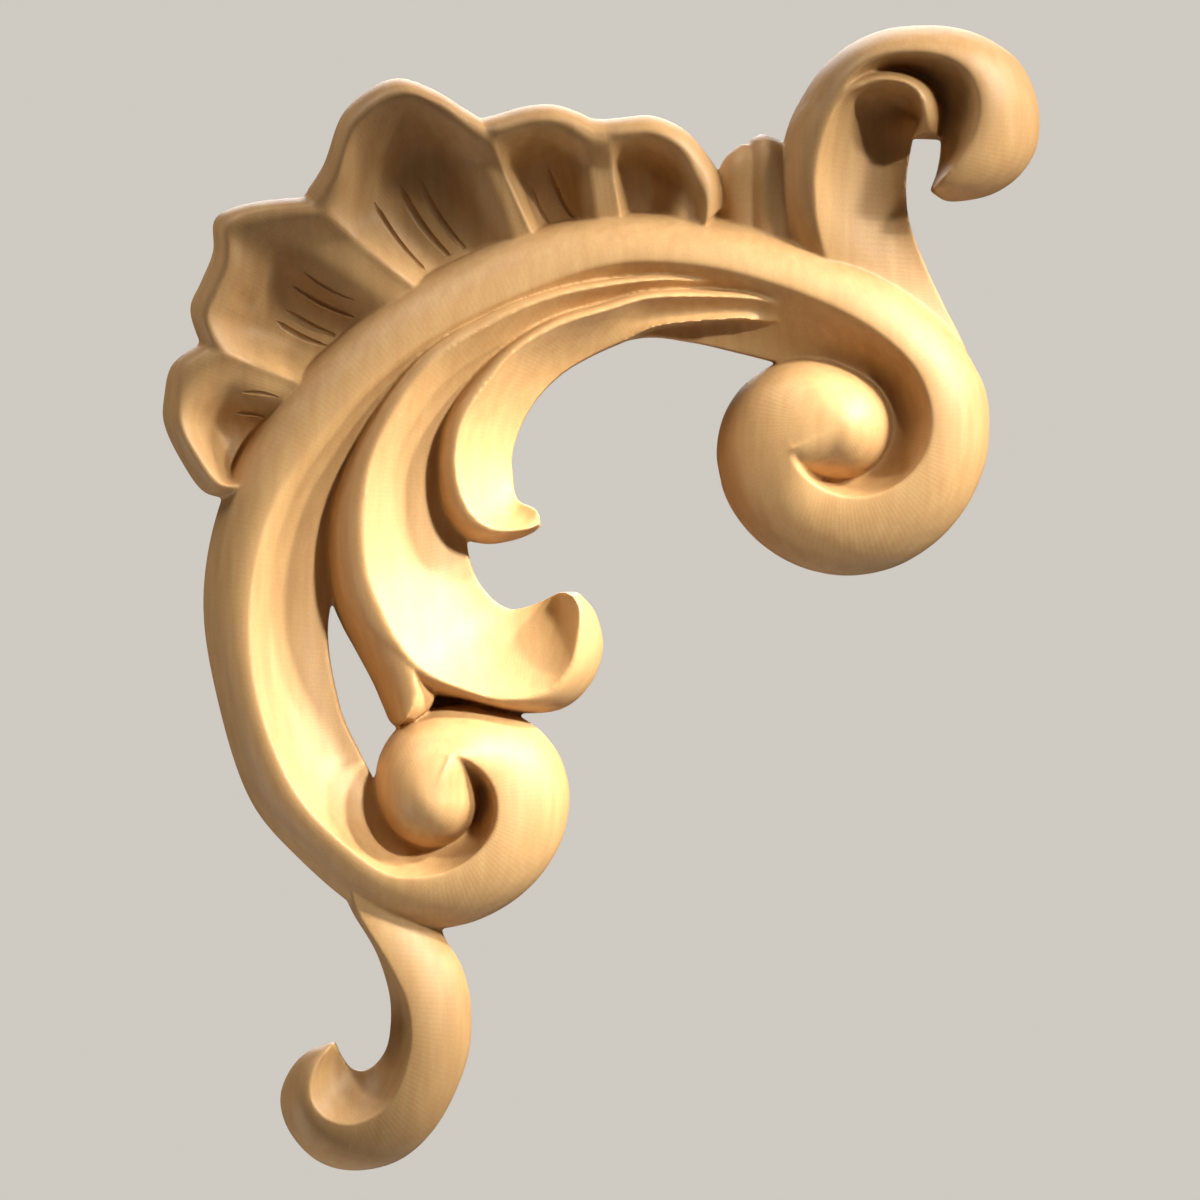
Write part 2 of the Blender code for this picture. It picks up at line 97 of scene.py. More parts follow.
# %% [markdown]
# ## Sections and sweeps
#
# Every form of the ornament is a sweep: a row of cross-sections, and a smooth skin through them.
# One section runs from the outer edge over the crest to the inner edge. From the outer edge to the
# crest the wood is rounded, as a quarter of an ellipse. From the crest inwards it falls in a
# hollow. Carvers cut the same way, first a round, then a cove. A table of sections can be read and
# changed by hand, which a sculpted mesh can not.

# %% A section, and the rows between two sections
def section(outer, crest, inner, crest_rise, inner_rise, edge_rise=0.0, dish=0.0,
            dome=0.0, reach=1.0):
    """One cross-section: three places on the sheet and their heights.

    dish hollows the stretch between crest and inner edge. dome, from 0 to 1, turns the profile
    into the rolled eye's quarter ellipse, which rises from the outer edge over a length reach.
    """
    return [*outer, *crest, *inner, crest_rise, inner_rise, edge_rise, dish, dome, reach]


def smooth_rows(rows, steps):
    """Rows between the given ones, on a smooth curve through them."""
    rows = np.array(rows, dtype=float)
    moved = np.abs(np.diff(rows[:, :6], axis=0)).sum(axis=1)
    time = np.concatenate([[0.0], np.cumsum(np.sqrt(moved) + 1e-6)])
    gap = np.diff(time)[:, None]
    slope = np.diff(rows, axis=0) / gap
    inside = (slope[:-1] * gap[1:] + slope[1:] * gap[:-1]) / (gap[1:] + gap[:-1])
    tangent = np.vstack([slope[:1], inside, slope[-1:]])
    filled = []
    for index in range(len(rows) - 1):
        for step in range(steps):
            t = step / steps
            filled.append((2 * t**3 - 3 * t**2 + 1) * rows[index]
                          + (t**3 - 2 * t**2 + t) * gap[index] * tangent[index]
                          + (3 * t**2 - 2 * t**3) * rows[index + 1]
                          + (t**3 - t**2) * gap[index] * tangent[index + 1])
    filled.append(rows[-1])
    return filled


low_section = section((0, 0), (50, 0), (130, 0), SCROLL_RELIEF, COVE_FLOOR, BACK_EDGE)
high_section = section((0, 90), (50, 90), (130, 90), EYE_RELIEF, COVE_FLOOR, BACK_EDGE)
between = smooth_rows([low_section, high_section], 4)
print("crests between two sections, mm:", [round(1000 * float(row[6]), 1) for row in between])

# %% The profile of one section
def ease(start, end, value):
    """0 before start, 1 past end, smooth between; end may lie below start."""
    share = min(max((value - start) / (end - start), 0.0), 1.0)
    return share * share * (3.0 - 2.0 * share)


def quarter_ellipse(share):
    return math.sqrt(max(0.0, 1.0 - share * share))


def coved(exponent):
    """How a hollow falls from 1 at the crest to 0 at the inner edge."""
    return lambda along: (1.0 - along) ** exponent


def profile(row, outer_exponent, fall, count):
    """The points of one section on the sheet, with their heights, from outer to inner edge."""
    outer, crest, inner = row[0:2], row[2:4], row[4:6]
    crest_rise, inner_rise, edge_rise, dish, dome, reach = row[6:12]
    run_out = np.hypot(*(crest - outer))
    run_in = np.hypot(*(inner - crest))
    points = []
    for step in range(count + 1):
        turn = math.radians(90.0 * step / count)
        along = 1.0 - math.cos(turn)
        height = edge_rise + (crest_rise - edge_rise) * math.sin(turn) ** (2.0 / outer_exponent)
        points.append((outer + (crest - outer) * along, height, along * run_out))
    for step in range(1, count + 1):
        along = step / count
        height = inner_rise + (crest_rise - inner_rise) * fall(along)
        height -= dish * 4.0 * along * (1.0 - along)
        points.append((crest + (inner - crest) * along, height, run_out + along * run_in))
    lifted = []
    for place, height, run in points:
        rolled = edge_rise + (EYE_RELIEF - edge_rise) * quarter_ellipse(1.0 - run / reach)
        lifted.append((place, height + (rolled - height) * dome))
    return lifted


across = profile(between[0], 2.0, coved(2.0), 4)
print("heights across a section, mm:", [round(1000 * float(point[1]), 1) for point in across])

# %% [markdown]
# The sweep also notes, at each point, how far along the form it lies. The gouge passes of the
# finish follow this measure later on.

# %% The sweep
FINER = 3           # rows and points per section, against those of the plain solid


def sweep(bm, rows, steps=4, outer_exponent=2.0, fall=coved(2.0), count=6):
    """A closed body through the rows, capped at both ends."""
    travel = bm.verts.layers.float["travel"]
    count *= FINER
    rings = []
    gone = 0.0
    last = None
    for row in smooth_rows(rows, steps * FINER):
        points = profile(row, outer_exponent, fall, count)
        middle = np.array(points[count // 2][0])
        gone += 0.0 if last is None else float(np.hypot(*(middle - last))) * UNIT
        last = middle
        ring = [at(points[0][0], -SINK)]
        ring += [at(place, height) for place, height in points]
        ring.append(at(points[-1][0], -SINK))
        verts = [bm.verts.new(point) for point in ring]
        for vert in verts:
            vert[travel] = gone
        rings.append(verts)
    for near, far in zip(rings, rings[1:]):
        for index in range(len(near)):
            after = (index + 1) % len(near)
            bm.faces.new((near[index], near[after], far[after], far[index]))
    bm.faces.new(rings[0])
    bm.faces.new(rings[-1])


forms = bmesh.new()
forms.verts.layers.float.new("travel")


def grow(form):
    """Adds one form to the mesh that holds all forms, and prints its size."""
    before = len(forms.verts)
    form(forms)
    forms.verts.ensure_lookup_table()
    places = 1000 * np.array([vert.co for vert in forms.verts[before:]])
    width, _, height = np.ptp(places, axis=0)
    print(form.__name__, round(width, 1), "by", round(height, 1), "mm, relief",
          round(-places[:, 1].min(), 1), "mm")


trial = bmesh.new()
trial.verts.layers.float.new("travel")
sweep(trial, [low_section, high_section])
print("a trial sweep:", len(trial.faces), "faces")
trial.free()

# %% [markdown]
# ## The C-scroll
#
# The backbone of the ornament. Its two ends roll up like a snail. A rolled end is drawn from its
# pivot: the radius of the outer edge and of the crest is given at a few angles. The groove between
# the roll and the eye closes where the band runs out into the eye.

# %% The rolled ends
UPPER_PIVOT = (838, 425)
UPPER_OUTER = ((-152, 56), (60, 55), (94, 62), (135, 87), (178, 117), (208, 132),
               (249, 145), (280, 153), (367, 152))
UPPER_CREST = ((208, 58), (248, 63), (282, 74), (318, 85), (340, 91), (367, 93))
UPPER_EYE = 56
LOWER_PIVOT = (430, 798)
LOWER_OUTER = ((-122, 132), (-60, 131), (0, 141), (20, 137), (45, 120), (62, 105), (86, 91),
               (113, 78), (144, 64), (162, 57), (190, 50), (425, 50))
LOWER_CREST = ((-139, 93), (-102, 79), (-60, 72), (-23, 71), (6, 66), (30, 58), (65, 50))
LOWER_EYE = 50
TURN_BLEND = 14             # degrees to either side over which a spiral's radius is averaged
EYE_TUCK = 4                # how far the cove runs in under an eye
EYE_CROWN = 0.4             # where an eye reaches its full height, as a share of its radius


def spiral(stops, angle):
    """The radius at an angle, averaged over a few degrees so that it turns without a kink."""
    angles, radii = zip(*stops)
    nearby = angle + np.linspace(-TURN_BLEND, TURN_BLEND, 7)
    return float(np.mean(np.interp(nearby, angles, radii)))


def around(pivot, angle, radius):
    turn = math.radians(angle)
    return np.array((pivot[0] + radius * math.cos(turn), pivot[1] - radius * math.sin(turn)))


def volute_band(pivot, angles, outer_stops, crest_stops, eye_radius, closing):
    """Sections of the scroll round an eye; closing gives 0 to 1 where the groove runs out."""
    rows = []
    for angle in angles:
        reach = spiral(outer_stops, angle)
        rows.append(section(around(pivot, angle, reach),
                            around(pivot, angle, spiral(crest_stops, angle)),
                            around(pivot, angle, eye_radius - EYE_TUCK),
                            SCROLL_RELIEF, COVE_FLOOR, BACK_EDGE, 0.0, closing(angle), reach))
    return rows


def eye(bm, pivot, angles, outer_stops, eye_radius, closing):
    """The rolled end: sections that all run in to the pivot."""
    groove = eye_radius / spiral(outer_stops, angles[0])
    shut_edge = BACK_EDGE + (EYE_RELIEF - BACK_EDGE) * quarter_ellipse(groove)
    rows = []
    for angle in angles:
        reach = spiral(outer_stops, angle)
        edge = BACK_EDGE + (shut_edge - BACK_EDGE) * closing(angle)
        rows.append(section(around(pivot, angle, reach),
                            around(pivot, angle, reach * EYE_CROWN),
                            np.array(pivot, dtype=float), EYE_RELIEF, EYE_RELIEF, edge, 0.0,
                            1.0, reach))
    sweep(bm, rows, steps=2, count=7)


for name, stops in (("upper", UPPER_OUTER), ("lower", LOWER_OUTER)):
    radii = [round(1000 * UNIT * spiral(stops, angle), 1) for angle in (0, 90, 180, 270)]
    print(name, "roll, radius at each quarter turn, mm:", radii)

# %% The arch between them
# The arch between the two rolled ends: outer edge, crest and inner edge on the sheet
ARCH_RAILS = (
    ((300, 860), (330, 830), (385, 800)),
    ((250, 800), (290, 780), (362, 757)),
    ((215, 690), (259, 695), (338, 700)),
    ((203, 600), (252, 610), (328, 620)),
    ((221, 500), (273, 510), (360, 530)),
    ((265, 416), (318, 442), (400, 480)),
    ((364, 316), (400, 360), (460, 420)),
    ((494, 242), (516, 297), (550, 370)),
    ((609, 214), (620, 264), (640, 338)),
    ((700, 215), (695, 266), (690, 342)),
    ((776, 231), (758, 280), (735, 352)),
    ((872, 269), (828, 306), (775, 362)),
    ((939, 319), (878, 335), (815, 372)),
    ((975, 366), (915, 372), (868, 385)),
)


def c_scroll(bm):
    """The long C-scroll: outer round, sharp crest, hollow cove, and its two rolled ends."""
    lower = volute_band(LOWER_PIVOT, np.linspace(77, -120, 14), LOWER_OUTER, LOWER_CREST,
                        LOWER_EYE, lambda angle: ease(5, 62, angle))
    upper = volute_band(UPPER_PIVOT, np.linspace(367, 196, 12), UPPER_OUTER, UPPER_CREST,
                        UPPER_EYE, lambda angle: ease(265, 211, angle))
    arch = [section(outer, crest, inner, SCROLL_RELIEF, COVE_FLOOR, BACK_EDGE, 0.0, 0.0,
                    UPPER_EYE) for outer, crest, inner in ARCH_RAILS]
    sweep(bm, lower + arch + upper, steps=4)
    eye(bm, LOWER_PIVOT, range(65, 426, 15), LOWER_OUTER, LOWER_EYE,
        lambda angle: ease(365, 425, angle))
    eye(bm, UPPER_PIVOT, range(208, -153, -15), UPPER_OUTER, UPPER_EYE,
        lambda angle: ease(-95, -152, angle))


grow(c_scroll)

# %% [markdown]
# ## The leaves
#
# Two leaves spring from the right end of the arch as thin ribs, widen along it and curl up at
# their tips like a spoon. Their outer wall is steep and stays in the shade, and their face is
# hollow and turned to the light. The large leaf has a short side lobe that rests on the lower roll.

# %% The large leaf
def large_leaf(bm):
    rise = LEAF_RELIEF
    rows = [
        section((715, 278), (714, 283), (713, 290), rise * 0.65, rise * 0.60),
        section((663, 271), (665, 281), (668, 302), rise * 0.82, rise * 0.55),
        section((604, 276), (609, 287), (620, 320), rise * 0.90, rise * 0.5),
        section((545, 287), (553, 299), (575, 345), rise * 0.95, rise * 0.5),
        section((484, 309), (494, 324), (530, 380), rise, rise * 0.5),
        section((411, 352), (427, 371), (490, 420), rise, rise * 0.5),
        section((352, 440), (376, 454), (468, 470), rise, rise * 0.48),
        section((326, 512), (365, 520), (466, 520), rise, rise * 0.45),
        section((326, 570), (369, 573), (468, 552), rise * 0.98, rise * 0.45),
        section((340, 622), (385, 614), (476, 577), rise * 0.95, rise * 0.45),
        section((380, 668), (402, 645), (486, 592), rise * 0.92, rise * 0.44),
        section((420, 692), (422, 668), (496, 602), rise * 0.88, rise * 0.42),
        section((466, 702), (455, 685), (509, 609), rise * 0.84, rise * 0.42),
        section((515, 713), (500, 698), (522, 608), rise * 0.82, rise * 0.43),
        section((562, 709), (542, 693), (535, 604), rise * 0.84, rise * 0.46),
        section((593, 680), (568, 668), (546, 599), rise * 0.90, rise * 0.52),
        section((603, 643), (577, 635), (556, 594), rise * 0.96, rise * 0.64),
        section((594, 610), (579, 609), (562, 592), rise * 0.98, rise * 0.8),
        section((578, 592), (573, 596), (566, 592), rise * 0.94, rise * 0.88),
    ]
    sweep(bm, rows, outer_exponent=1.6, fall=coved(1.7))


grow(large_leaf)

# %% Its side lobe, and the low web behind it
def side_lobe(bm):
    """The short pointed lobe under the large leaf's wall, which ends on the lower volute."""
    rise = LEAF_RELIEF
    rows = [
        section((327, 583), (372, 585), (392, 580), rise * 0.90, rise * 0.5),
        section((340, 622), (385, 616), (404, 615), rise * 0.90, rise * 0.5),
        section((356, 652), (402, 645), (414, 650), rise * 0.89, rise * 0.62),
        section((372, 682), (414, 671), (424, 672), rise * 0.86, rise * 0.6),
        section((382, 705), (418, 692), (435, 692), rise * 0.84, rise * 0.62),
        section((389, 721), (415, 706), (430, 708), rise * 0.82, rise * 0.62),
        section((397, 728), (407, 717), (414, 720), rise * 0.78, rise * 0.62),
    ]
    sweep(bm, rows, outer_exponent=1.7, fall=coved(1.5))


def web(bm):
    """A low web that ties the large leaf and its side lobe to the rolled end below them."""
    rise = WEB_RELIEF
    rows = [section((405, 688), (430, 688), (480, 695), rise, rise),
            section((405, 735), (430, 735), (480, 735), rise, rise)]
    sweep(bm, rows)


grow(side_lobe)
grow(web)

# %% The small inner leaf
def inner_leaf(bm):
    """The small leaf with the two ribs that run out of it along the arch."""
    rise = INNER_LEAF_RELIEF
    rows = [
        section((792, 303), (791, 307), (786, 322), rise * 0.50, rise * 0.41),
        section((774, 296), (773, 304), (765, 322), rise * 0.64, rise * 0.55, 0, rise * 0.04),
        section((754, 290), (753, 300), (744, 320), rise * 0.72, rise * 0.66, 0, rise * 0.10),
        section((701, 286), (701, 298), (700, 322), rise * 0.80, rise * 0.72, 0, rise * 0.14),
        section((645, 288), (648, 300), (655, 328), rise * 0.86, rise * 0.70, 0, rise * 0.12),
        section((601, 300), (609, 311), (628, 340), rise * 0.92, rise * 0.62, 0, rise * 0.06),
        section((549, 315), (557, 328), (592, 356), rise * 0.96, rise * 0.52),
        section((503, 344), (516, 352), (562, 374), rise, rise * 0.48),
        section((466, 378), (487, 385), (537, 399), rise, rise * 0.45),
        section((440, 424), (464, 422), (520, 428), rise, rise * 0.43),
        section((434, 467), (457, 460), (512, 456), rise * 0.98, rise * 0.42),
        section((440, 508), (463, 495), (513, 478), rise * 0.95, rise * 0.42),
        section((461, 537), (479, 520), (515, 493), rise * 0.92, rise * 0.45),
        section((488, 544), (497, 529), (520, 502), rise * 0.90, rise * 0.5),
        section((514, 540), (515, 530), (529, 506), rise * 0.90, rise * 0.62),
        section((532, 533), (530, 528), (537, 511), rise * 0.90, rise * 0.76),
        section((541, 526), (540, 524), (540, 519), rise * 0.86, rise * 0.84),
    ]
    sweep(bm, rows, outer_exponent=1.8, fall=coved(1.7))


grow(inner_leaf)

# %% [markdown]
# ## The hook, the bud and the tail
#
# The hook rises from the scroll as a scooped stem, rolls its tip over into a lip, and closes with
# a broad round band around a crescent. The bud fills the corner between the hook and the fan. The
# tail hangs from the lower roll and ends in a small cup.

# %% The stem of the hook
def hook_stem(bm):
    """The stem that rises from the scroll, scooped, with the scoop's end rolled over as a lip."""
    rise = HOOK_RELIEF
    edge = BACK_EDGE
    rows = [
        section((880, 400), (930, 400), (977, 397), rise * 0.4, rise * 0.26, edge),
        section((850, 345), (900, 352), (967, 352), rise * 0.4, rise * 0.24, edge, rise * -0.08),
        section((812, 290), (855, 300), (944, 304), rise * 0.48, rise * 0.24, edge, rise * -0.10),
        section((781, 238), (827, 260), (926, 266), rise * 0.66, rise * 0.28, edge, rise * -0.06),
        section((780, 200), (816, 215), (909, 220), rise * 0.86, rise * 0.34, edge, rise * 0.04),
        section((781, 165), (816, 170), (906, 183), rise * 0.96, rise * 0.46, edge, rise * 0.16),
        section((790, 122), (827, 126), (911, 148), rise, rise * 0.46, edge, rise * 0.22),
        section((815, 88), (842, 99), (914, 134), rise, rise * 0.52, edge, rise * 0.30),
        section((850, 72), (862, 88), (915, 126), rise * 0.99, rise * 0.58, edge, rise * 0.38),
        section((884, 68), (880, 83), (915, 124), rise * 0.98, rise * 0.62, edge, rise * 0.42),
        section((914, 74), (900, 85), (915, 124), rise * 0.97, rise * 0.64, edge, rise * 0.36),
        section((934, 88), (915, 95), (915, 125), rise * 0.96, rise * 0.66, edge, rise * 0.24),
        section((942, 106), (921, 108), (915, 127), rise * 0.94, rise * 0.68, edge, rise * 0.12),
        section((943, 124), (923, 120), (914, 131), rise * 0.88, rise * 0.70, edge),
        section((941, 139), (925, 132), (913, 138), rise * 0.76, rise * 0.68, edge),
    ]
    sweep(bm, rows, outer_exponent=2.0, fall=coved(1.6))


grow(hook_stem)

# %% The band of the hook
def hook_band(bm):
    """The broad outer face of the hook, with the crescent recess on its inner side."""
    rise = HOOK_RELIEF
    edge = BACK_EDGE
    rows = [
        section((781, 238), (826, 260), (828, 262), rise * 0.66, rise * 0.64, edge),
        section((780, 180), (814, 190), (817, 192), rise * 0.93, rise * 0.9, edge),
        section((787, 130), (822, 136), (826, 138), rise, rise * 0.96, edge),
        section((802, 97), (837, 101), (841, 104), rise, rise * 0.94, edge),
        section((823, 67), (853, 76), (858, 82), rise, rise * 0.86, edge),
        section((850, 44), (872, 62), (876, 78), rise, rise * 0.7, edge),
        section((885, 29), (896, 56), (892, 77), rise, rise * 0.54, edge),
        section((920, 25), (922, 56), (908, 80), rise, rise * 0.44, edge),
        section((955, 27), (945, 61), (922, 86), rise, rise * 0.38, edge),
        section((988, 38), (963, 72), (930, 95), rise, rise * 0.36, edge),
        section((1020, 62), (974, 90), (935, 104), rise, rise * 0.36, edge),
        section((1038, 102), (978, 112), (938, 116), rise, rise * 0.38, edge),
        section((1038, 143), (972, 138), (941, 133), rise, rise * 0.42, edge),
        section((1021, 174), (960, 159), (941, 150), rise, rise * 0.46, edge),
        section((994, 193), (947, 174), (939, 164), rise * 0.97, rise * 0.46, edge),
        section((966, 200), (939, 182), (936, 176), rise * 0.92, rise * 0.46, edge),
        section((946, 200), (934, 188), (932, 186), rise * 0.84, rise * 0.46, edge),
        section((934, 193), (932, 191), (931, 190), rise * 0.7, rise * 0.46, edge),
    ]
    sweep(bm, rows, outer_exponent=1.5, fall=coved(1.6))


grow(hook_band)

# %% The bud
def bud(bm):
    """The small two-lobed bud between the fan and the hook."""
    rise = BUD_RELIEF
    edge = BACK_EDGE
    side = [
        section((719, 245), (748, 245), (766, 245), rise * 0.84, edge, edge),
        section((717, 200), (746, 200), (766, 204), rise * 0.88, edge, edge),
        section((719, 170), (746, 171), (766, 172), rise * 0.88, edge, edge),
        section((728, 154), (750, 158), (768, 160), rise * 0.80, edge, edge),
        section((742, 143), (756, 148), (768, 150), rise * 0.62, edge, edge),
    ]
    front = [
        section((744, 250), (772, 250), (804, 250), rise * 0.98, edge),
        section((741, 205), (769, 203), (804, 200), rise, edge),
        section((739, 172), (767, 172), (800, 170), rise, edge),
        section((744, 151), (767, 153), (792, 152), rise * 0.96, edge),
        section((752, 138), (768, 142), (784, 144), rise * 0.82, edge),
        section((762, 133), (769, 136), (777, 138), rise * 0.5, edge),
    ]
    sweep(bm, side, fall=quarter_ellipse)
    sweep(bm, front, fall=quarter_ellipse)


grow(bud)

# %% The tail
def tail(bm):
    """The stem that hangs from the lower roll, with its small cup."""
    rise = TAIL_RELIEF
    edge = BACK_EDGE
    rows = [
        section((438, 890), (350, 885), (340, 885), rise, rise * 0.3, edge),
        section((441, 929), (360, 915), (352, 912), rise, rise * 0.3, edge),
        section((462, 968), (390, 965), (377, 955), rise, rise * 0.3, edge),
        section((471, 1010), (408, 1005), (390, 1000), rise, rise * 0.3, edge),
        section((467, 1060), (411, 1045), (389, 1038), rise, rise * 0.3, edge),
        section((433, 1131), (393, 1098), (377, 1063), rise, rise * 0.3, edge),
        section((392, 1164), (368, 1118), (364, 1071), rise, rise * 0.32, edge),
        section((350, 1171), (347, 1123), (355, 1070), rise, rise * 0.34, edge),
        section((315, 1160), (326, 1116), (349, 1067), rise, rise * 0.36, edge),
        section((287, 1128), (313, 1100), (345, 1062), rise, rise * 0.4, edge),
        section((280, 1098), (312, 1081), (341, 1056), rise * 0.97, rise * 0.46, edge),
        section((290, 1070), (318, 1064), (338, 1050), rise * 0.92, rise * 0.56, edge),
        section((308, 1052), (326, 1052), (336, 1045), rise * 0.84, rise * 0.66, edge),
        section((330, 1043), (332, 1043), (334, 1042), rise * 0.72, rise * 0.7, edge),
    ]
    sweep(bm, rows, outer_exponent=1.7, fall=coved(1.5))


grow(tail)

# %% [markdown]
# ## The fluted fan
#
# Five lobes stand outside the arch. Each has a thick round rim, and a flute that starts behind the
# rim and runs in under the scroll. The lobes share one sweep, whose sections stand across the
# flutes, so that the ridges between them stay unbroken.

# %% The fan
# Each lobe of the fan: its outline from ridge to ridge, where the two ridges meet the scroll, and
# the share of the lobe's width that its flute takes before the plain band that ends it
FAN_LOBES = (
    (((222, 498), (204, 492), (184, 466), (163, 420), (164, 395), (171, 366), (199, 343)),
     (272, 468), (345, 400), 0.86),
    (((199, 343), (190, 308), (201, 281), (213, 250), (214, 220), (240, 205), (303, 196)),
     (345, 400), (445, 310), 0.86),
    (((303, 196), (323, 165), (345, 110), (395, 78), (433, 89), (464, 108), (481, 118)),
     (445, 310), (545, 262), 0.86),
    (((481, 118), (494, 115), (525, 106), (552, 104), (579, 112), (592, 118), (605, 119)),
     (545, 262), (625, 245), 0.72),
    (((605, 119), (624, 117), (650, 115), (681, 127), (704, 150), (720, 178), (721, 220)),
     (625, 245), (672, 262), 0.74),
)
FAN_RIM_INSET = 20
FAN_RIM_DIP = 0.06          # how much lower the rim is at the ridges, as a share of its height
FAN_WALL_END = 0.32         # where the wall inside the rim ends, on the way to the scroll
NEAR_SIDE_END = 0.3         # where a flute's sharp near side ends, as a share of its width
FAR_SIDE_START = 0.50       # where its far wall begins to rise
FAN_LOBE_STEPS = 22


def flute(along, width):
    """How deep a flute is from ridge to ridge: a sharp near edge, a far wall, then a flat band."""
    near_side = math.sin(math.pi / 2 * min(along / (width * NEAR_SIDE_END), 1.0))
    return near_side * ease(width, width * FAR_SIDE_START, along)


def fan_wall(along):
    """How the wall inside the rim falls from 1 at the rim to 0 on the floor of a flute."""
    return 1.0 - ease(0.0, FAN_WALL_END, along)


def fan(bm):
    """Five fluted lobes: a thick round rim, broad ridges and hollow flutes between them."""
    rows = []
    for outline, first_root, last_root, width in FAN_LOBES:
        rail = smooth_rows([section(place, place, place, 0, 0) for place in outline],
                           FAN_LOBE_STEPS)
        for step in range(FAN_LOBE_STEPS):
            along = step / FAN_LOBE_STEPS
            outer = rail[round(along * (len(rail) - 1))][:2]
            root = np.array(first_root) + (np.array(last_root) - np.array(first_root)) * along
            inward = (root - outer) / np.hypot(*(root - outer))
            hollow = flute(along, width)
            rows.append(section(outer, outer + inward * FAN_RIM_INSET, root,
                                FAN_RELIEF * (1.0 - FAN_RIM_DIP * (1.0 - hollow)),
                                FAN_RIDGE + (FAN_FLOOR - FAN_RIDGE) * hollow, BACK_EDGE,
                                FAN_BOWL * hollow - FAN_CREST * (1.0 - hollow)))
    sweep(bm, rows, steps=1, fall=fan_wall, count=14)


grow(fan)

# %% [markdown]
# ## Growing the forms into one piece
#
# The sweeps overlap, as the forms do in the wood. A Boolean union would leave knife-sharp seams
# where they meet, which a gouge and sandpaper never leave. A voxel remesh fuses them, and a few
# rounds of smoothing ease the seams. The mesh is then thinned where it is flat.

# %% All forms in one mesh
def plain_mesh(bm, name):
    """The edited mesh as plain mesh data; the edited one is freed."""
    mesh = bpy.data.meshes.new(name)
    bm.to_mesh(mesh)
    bm.free()
    return mesh


def new_piece(name, mesh):
    piece = bpy.data.objects.new(name, mesh)
    bpy.context.scene.collection.objects.link(piece)
    return piece


bmesh.ops.recalc_face_normals(forms, faces=forms.faces)
raw = new_piece("raw_forms", plain_mesh(forms, "raw_forms"))
print("overlapping forms:", len(raw.data.polygons), "faces")

# %% Fuse, ease and thin
GRAIN = 0.00032             # edge of a voxel
EASE_ROUNDS = 10
EASE_SHARE = 0.5            # how far a point moves towards its neighbours in each round
FINE_TRIANGLES = 180000     # aimed at in the thinning, before the cuts add some


def apply_modifiers(piece):
    """The piece's evaluated shape becomes its plain mesh."""
    old = piece.data
    graph = bpy.context.evaluated_depsgraph_get()
    piece.data = bpy.data.meshes.new_from_object(piece.evaluated_get(graph))
    piece.modifiers.clear()
    bpy.data.meshes.remove(old)


carving = new_piece("carved_limewood_onlay", raw.data.copy())
fuse = carving.modifiers.new("fuse", "REMESH")
fuse.mode = "VOXEL"
fuse.voxel_size = GRAIN
ease_seams = carving.modifiers.new("ease seams", "SMOOTH")
ease_seams.factor = EASE_SHARE
ease_seams.iterations = EASE_ROUNDS
apply_modifiers(carving)
faces = 2 * len(carving.data.polygons)
thin = carving.modifiers.new("thin", "DECIMATE")
thin.ratio = FINE_TRIANGLES / faces
apply_modifiers(carving)
print("fused to", faces, "triangles, thinned to", len(carving.data.polygons))

# %% [markdown]
# ## The incised veins
#
# The flutes carry short veins, cut with a fine veining gouge that goes in shallow near the rim,
# digs deepest before the middle of its stroke and comes out shallow again. Each vein is one path,
# and Geometry Nodes turn all paths into gouge strokes at once: the tree runs the gouge's round
# profile along each path and reads at each point how much of its radius bites. The strokes are
# then cut out of the wood.

# %% Where the veins run
VEIN_POINTS = 9
VEIN_TIP = 0.25             # the radius at a stroke's ends, as a share of the full one
VEIN_SWELL = 0.7            # under 1, a stroke is widest before its middle
VEINS = (
    # start and end on the sheet, sideways bow there, share of the full radius
    ((374, 202), (430, 274), -5, 1.0),
    ((399, 184), (456, 262), -6, 1.1),
    ((418, 177), (472, 255), -6, 1.0),
    ((293, 286), (354, 317), -3, 1.0),
    ((285, 310), (340, 337), -3, 1.0),
    ((276, 321), (327, 346), -3, 0.9),
    ((304, 272), (354, 300), -3, 0.6),
    ((236, 414), (266, 418), 2, 0.8),
    ((243, 393), (279, 398), 2, 0.6),
    ((548, 169), (576, 221), -4, 1.0),
    ((531, 186), (552, 226), -3, 0.6),
)


def surface_height(tree, place):
    """How far the wood stands in front of the back at a place on the sheet."""
    x, _, z = at(place, 0.0)
    hit = tree.ray_cast(Vector((x, 2 * low.y, z)), Vector((0, 1, 0)))
    return -hit[0].y


def vein_paths():
    tree = BVHTree.FromObject(carving, bpy.context.evaluated_depsgraph_get())
    bm = bmesh.new()
    bite = bm.verts.layers.float.new("gouge_share")
    for start, end, bow, share in VEINS:
        run = np.array(end, dtype=float) - np.array(start)
        side = np.array((run[1], -run[0])) / np.hypot(*run)
        before = None
        for step in range(VEIN_POINTS):
            along = step / (VEIN_POINTS - 1)
            place = np.array(start) + run * along + side * bow * 4 * along * (1 - along)
            vert = bm.verts.new(at(place, surface_height(tree, place)))
            swell = math.sin(math.pi * along**VEIN_SWELL) ** 0.5
            vert[bite] = share * (VEIN_TIP + (1.0 - VEIN_TIP) * swell)
            if before:
                bm.edges.new((before, vert))
            before = vert
    return plain_mesh(bm, "vein_paths")


veins = new_piece("vein_paths", vein_paths())
print(len(VEINS), "veins,", len(veins.data.vertices), "points")

